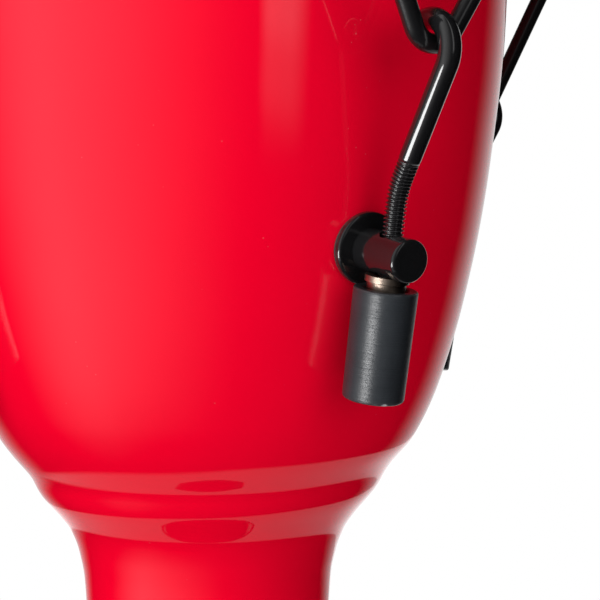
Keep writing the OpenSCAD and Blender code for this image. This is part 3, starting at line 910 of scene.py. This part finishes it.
hoop = lathe("counter_hoop_band", dense(hoop_outline(), 2.5 * MM), 240)
dress(hoop, GLOSS_BLACK)
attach(hoop, "hoop")
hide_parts("counter_hoop")
print("hoop faces:", len(hoop.data.polygons))

# %% Foot ring
def foot_outline():
    """Channel round the lower edge of the shell: outside, rim, the shell's own two faces, and inside."""
    low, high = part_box("foot_ring")
    rubber, shell_low = 3 * MM, ring_z[0]
    shell_out, outer_top = smooth_through(ring_z, ring_outer, np.array([shell_low, high[2]]))
    shell_in, inner_top = smooth_through(ring_z, ring_inner, np.array([shell_low, high[2]]))
    corners = [(high[0], 0), (outer_top + rubber, high[2]), (outer_top, high[2]), (shell_out, shell_low),
               (shell_in, shell_low), (inner_top, high[2]), (inner_top - rubber, high[2]),
               (shell_in - rubber, 0)]
    radii = np.array([2.4, 2.0, 0.2, 0, 0, 0.2, 2.0, 2.4]) * MM
    return dense(soften(corners, radii, 6), 2 * MM)


foot = lathe("foot_rubber", foot_outline(), 200)
dress(foot, BLACK_RUBBER)
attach(foot, "drum")
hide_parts("foot_ring")
print("foot ring faces:", len(foot.data.polygons))

# %% [markdown]
# ## CAD pieces that keep their shape
# Lugs, washers, nuts, screws and pads are turned or cast pieces that the CAD model already draws exactly,
# so they stay and only take their finish.

# %% Finishes of the CAD pieces
CAD_FINISH = {"lug_gaskets": BLACK_RUBBER, "backing_washers": BRIGHT_STEEL, "lug_screws": BRIGHT_STEEL,
              "thrust_washers": WARM_STEEL, "hoop_ears": GLOSS_BLACK, "flesh_hoop": BRIGHT_STEEL}
CAD_FINISH.update({f"lug_{k}": LUG_BLACK for k in SETS})
CAD_FINISH.update({f"tuning_nut_{k}": WARM_STEEL for k in SETS})
for node, material in CAD_FINISH.items():
    dress(frame["nodes"][node], material)
print("CAD pieces with a finish:", len(CAD_FINISH))

# %% [markdown]
# ## Studio
# The drum stands on a pale floor in a studio. What a glossy shell shows is the room round it, so the room
# is worked out from the direction of a ray: white behind the drum, a wide weak glow to the left that dies
# away to the right and downwards, a narrow brighter strip to the right, and a pale patch below that only
# the steep belt of the waist mirrors. The lamps that light the drum are large and soft, and are kept out
# of its reflections.

# %% The room as a function of direction
GLOW, STRIP, PATCH = 1.35, 1.25, 0.6


def share_along(tree, direction, axis):
    """Share of a direction that points along an axis."""
    node = tree.nodes.new("ShaderNodeVectorMath")
    node.operation = "DOT_PRODUCT"
    node.inputs[1].default_value = axis
    tree.links.new(direction, node.inputs[0])
    return node.outputs["Value"]


def eased(tree, angle, start, stop, high=1.0):
    """Number that eases from 0 to high while an angle goes from start to stop, in degrees."""
    return ramp(tree, angle, math.radians(start), math.radians(stop), 0.0, high, "SMOOTHSTEP")


def make_room():
    """Azimuth is the arc tangent of the ray's share to the right over its share towards the eye, and height
    is the arc sine of its upward share. The glow and the strip are products of eased steps of the two. The
    patch is lit where a mirror has to face down by some 41 degrees to send the line of sight there: a mirror
    faces along the ray less the line of sight, whose length is the root of 2 - 2 behind, so it faces down by
    the arc sine of the ray's downward share over that length."""
    world = bpy.data.worlds.new("room")
    bpy.context.scene.world = world
    world.use_nodes = True
    tree = world.node_tree
    tree.nodes.clear()
    ray = tree.nodes.new("ShaderNodeTexCoord").outputs["Generated"]
    behind = share_along(tree, ray, forward)
    azimuth = math_node(tree, "ARCTAN2", share_along(tree, ray, right), share_along(tree, ray, -forward))
    height = math_node(tree, "ARCSINE", share_along(tree, ray, (0, 0, 1)))
    white = ramp(tree, behind, 0.62, 0.99, kind="SMOOTHSTEP")
    glow = math_node(tree, "MULTIPLY", eased(tree, azimuth, 24, -75, GLOW), eased(tree, height, -66, -22))
    glow = math_node(tree, "MULTIPLY", glow, eased(tree, azimuth, -100, -55))
    strip = math_node(tree, "MULTIPLY", eased(tree, azimuth, 21, 26, STRIP), eased(tree, azimuth, 42, 33))
    strip = math_node(tree, "MULTIPLY", strip, eased(tree, height, -14, 2))
    length = math_node(tree, "MULTIPLY", math_node(tree, "SUBTRACT", 1.0, behind), 2.0)
    length = math_node(tree, "POWER", length, 0.5)
    facing_down = math_node(tree, "DIVIDE", share_along(tree, ray, (0, 0, -1)), length)
    patch = eased(tree, math_node(tree, "ARCSINE", facing_down), 40.4, 42.0, PATCH)
    total = math_node(tree, "ADD", math_node(tree, "ADD", white, glow), math_node(tree, "ADD", strip, patch))
    to_drum = tree.nodes.new("ShaderNodeBackground")
    tree.links.new(total, to_drum.inputs["Strength"])
    to_eye = tree.nodes.new("ShaderNodeBackground")
    to_eye.inputs["Color"].default_value = (1, 1, 1, 1)
    choose = tree.nodes.new("ShaderNodeMixShader")
    tree.links.new(tree.nodes.new("ShaderNodeLightPath").outputs["Is Camera Ray"], choose.inputs["Fac"])
    tree.links.new(to_drum.outputs[0], choose.inputs[1])
    tree.links.new(to_eye.outputs[0], choose.inputs[2])
    tree.links.new(choose.outputs[0], tree.nodes.new("ShaderNodeOutputWorld").inputs["Surface"])


make_room()
print("glow, strip and patch:", GLOW, STRIP, PATCH)

# %% [markdown]
# Two lamps do most of the lighting: a key to the front left and a weaker fill to the right. Two small ones
# light one kind of piece each: a strip to the lower left draws the crisp lines on the black hardware, and
# another, nearer the eye, draws the soft streak down the rubber boots.

# %% Lamps
def area_light(name, azimuth, height, distance, size, radiance, glossy=False):
    """Soft light of size (width, length) that looks at the lug, at an azimuth to the right of the eye and a
    height above the lug, in degrees. Its power is its radiance times pi times its area."""
    toward = -forward * math.cos(math.radians(azimuth)) + right * math.sin(math.radians(azimuth))
    toward = toward * math.cos(math.radians(height)) + Vector((0, 0, math.sin(math.radians(height))))
    data = bpy.data.lights.new(name, "AREA")
    data.shape = "RECTANGLE"
    data.size, data.size_y = size
    data.energy = radiance * math.pi * size[0] * size[1]
    lamp = bpy.data.objects.new(name, data)
    lamp.location = toward * distance + Vector((0, 0, bore.z))
    lamp.rotation_mode = "QUATERNION"
    lamp.rotation_quaternion = (-toward).to_track_quat("-Z", "Y")
    lamp.visible_glossy = glossy
    lamp.visible_camera = False
    bpy.context.scene.collection.objects.link(lamp)
    return lamp


area_light("key", -38, 18, 1.5, (1.2, 1.2), 4.3)
area_light("fill", 30, 10, 1.8, (1.4, 1.4), 1.6)
line_light = area_light("hardware_line", -47, -22, 0.6, (0.34, 0.18), 16.0, glossy=True)
boot_light = area_light("boot_line", -28, -17, 0.6, (0.19, 0.3), 26.0, glossy=True)
HARDWARE = ("tuning_rod", "v_bar", "lug_", "thrust", "tuning_nut", "hoop_ears")
for lamp, kinds in ((line_light, HARDWARE), (boot_light, ("rubber_boot",))):
    lit = bpy.data.collections.new(f"lit_by_{lamp.name}")
    for piece in list(bpy.data.objects):
        if piece.name.startswith(kinds):
            lit.objects.link(piece)
    lamp.light_linking.receiver_collection = lit

# %% Floor
FLOOR_RADIUS = 0.9
FLOOR_Z = -0.2 * MM


def make_floor():
    """Pale disc, a little rough: a few rings round the drum's axis, just below its foot."""
    rings = np.linspace(0, FLOOR_RADIUS, 9)
    disc = lathe("floor", np.stack([rings, np.full(9, FLOOR_Z)], axis=1), 128, closed=False)
    material, tree, shader = new_material("floor", Base_Color=(0.8, 0.8, 0.8, 1), Roughness=0.6)
    bump(tree, shader, noise_node(tree, object_point(tree), 600, 2.0), 0.00005)
    dress(disc, material)
    disc.visible_glossy = False
    return disc


print("floor faces:", len(make_floor().data.polygons))
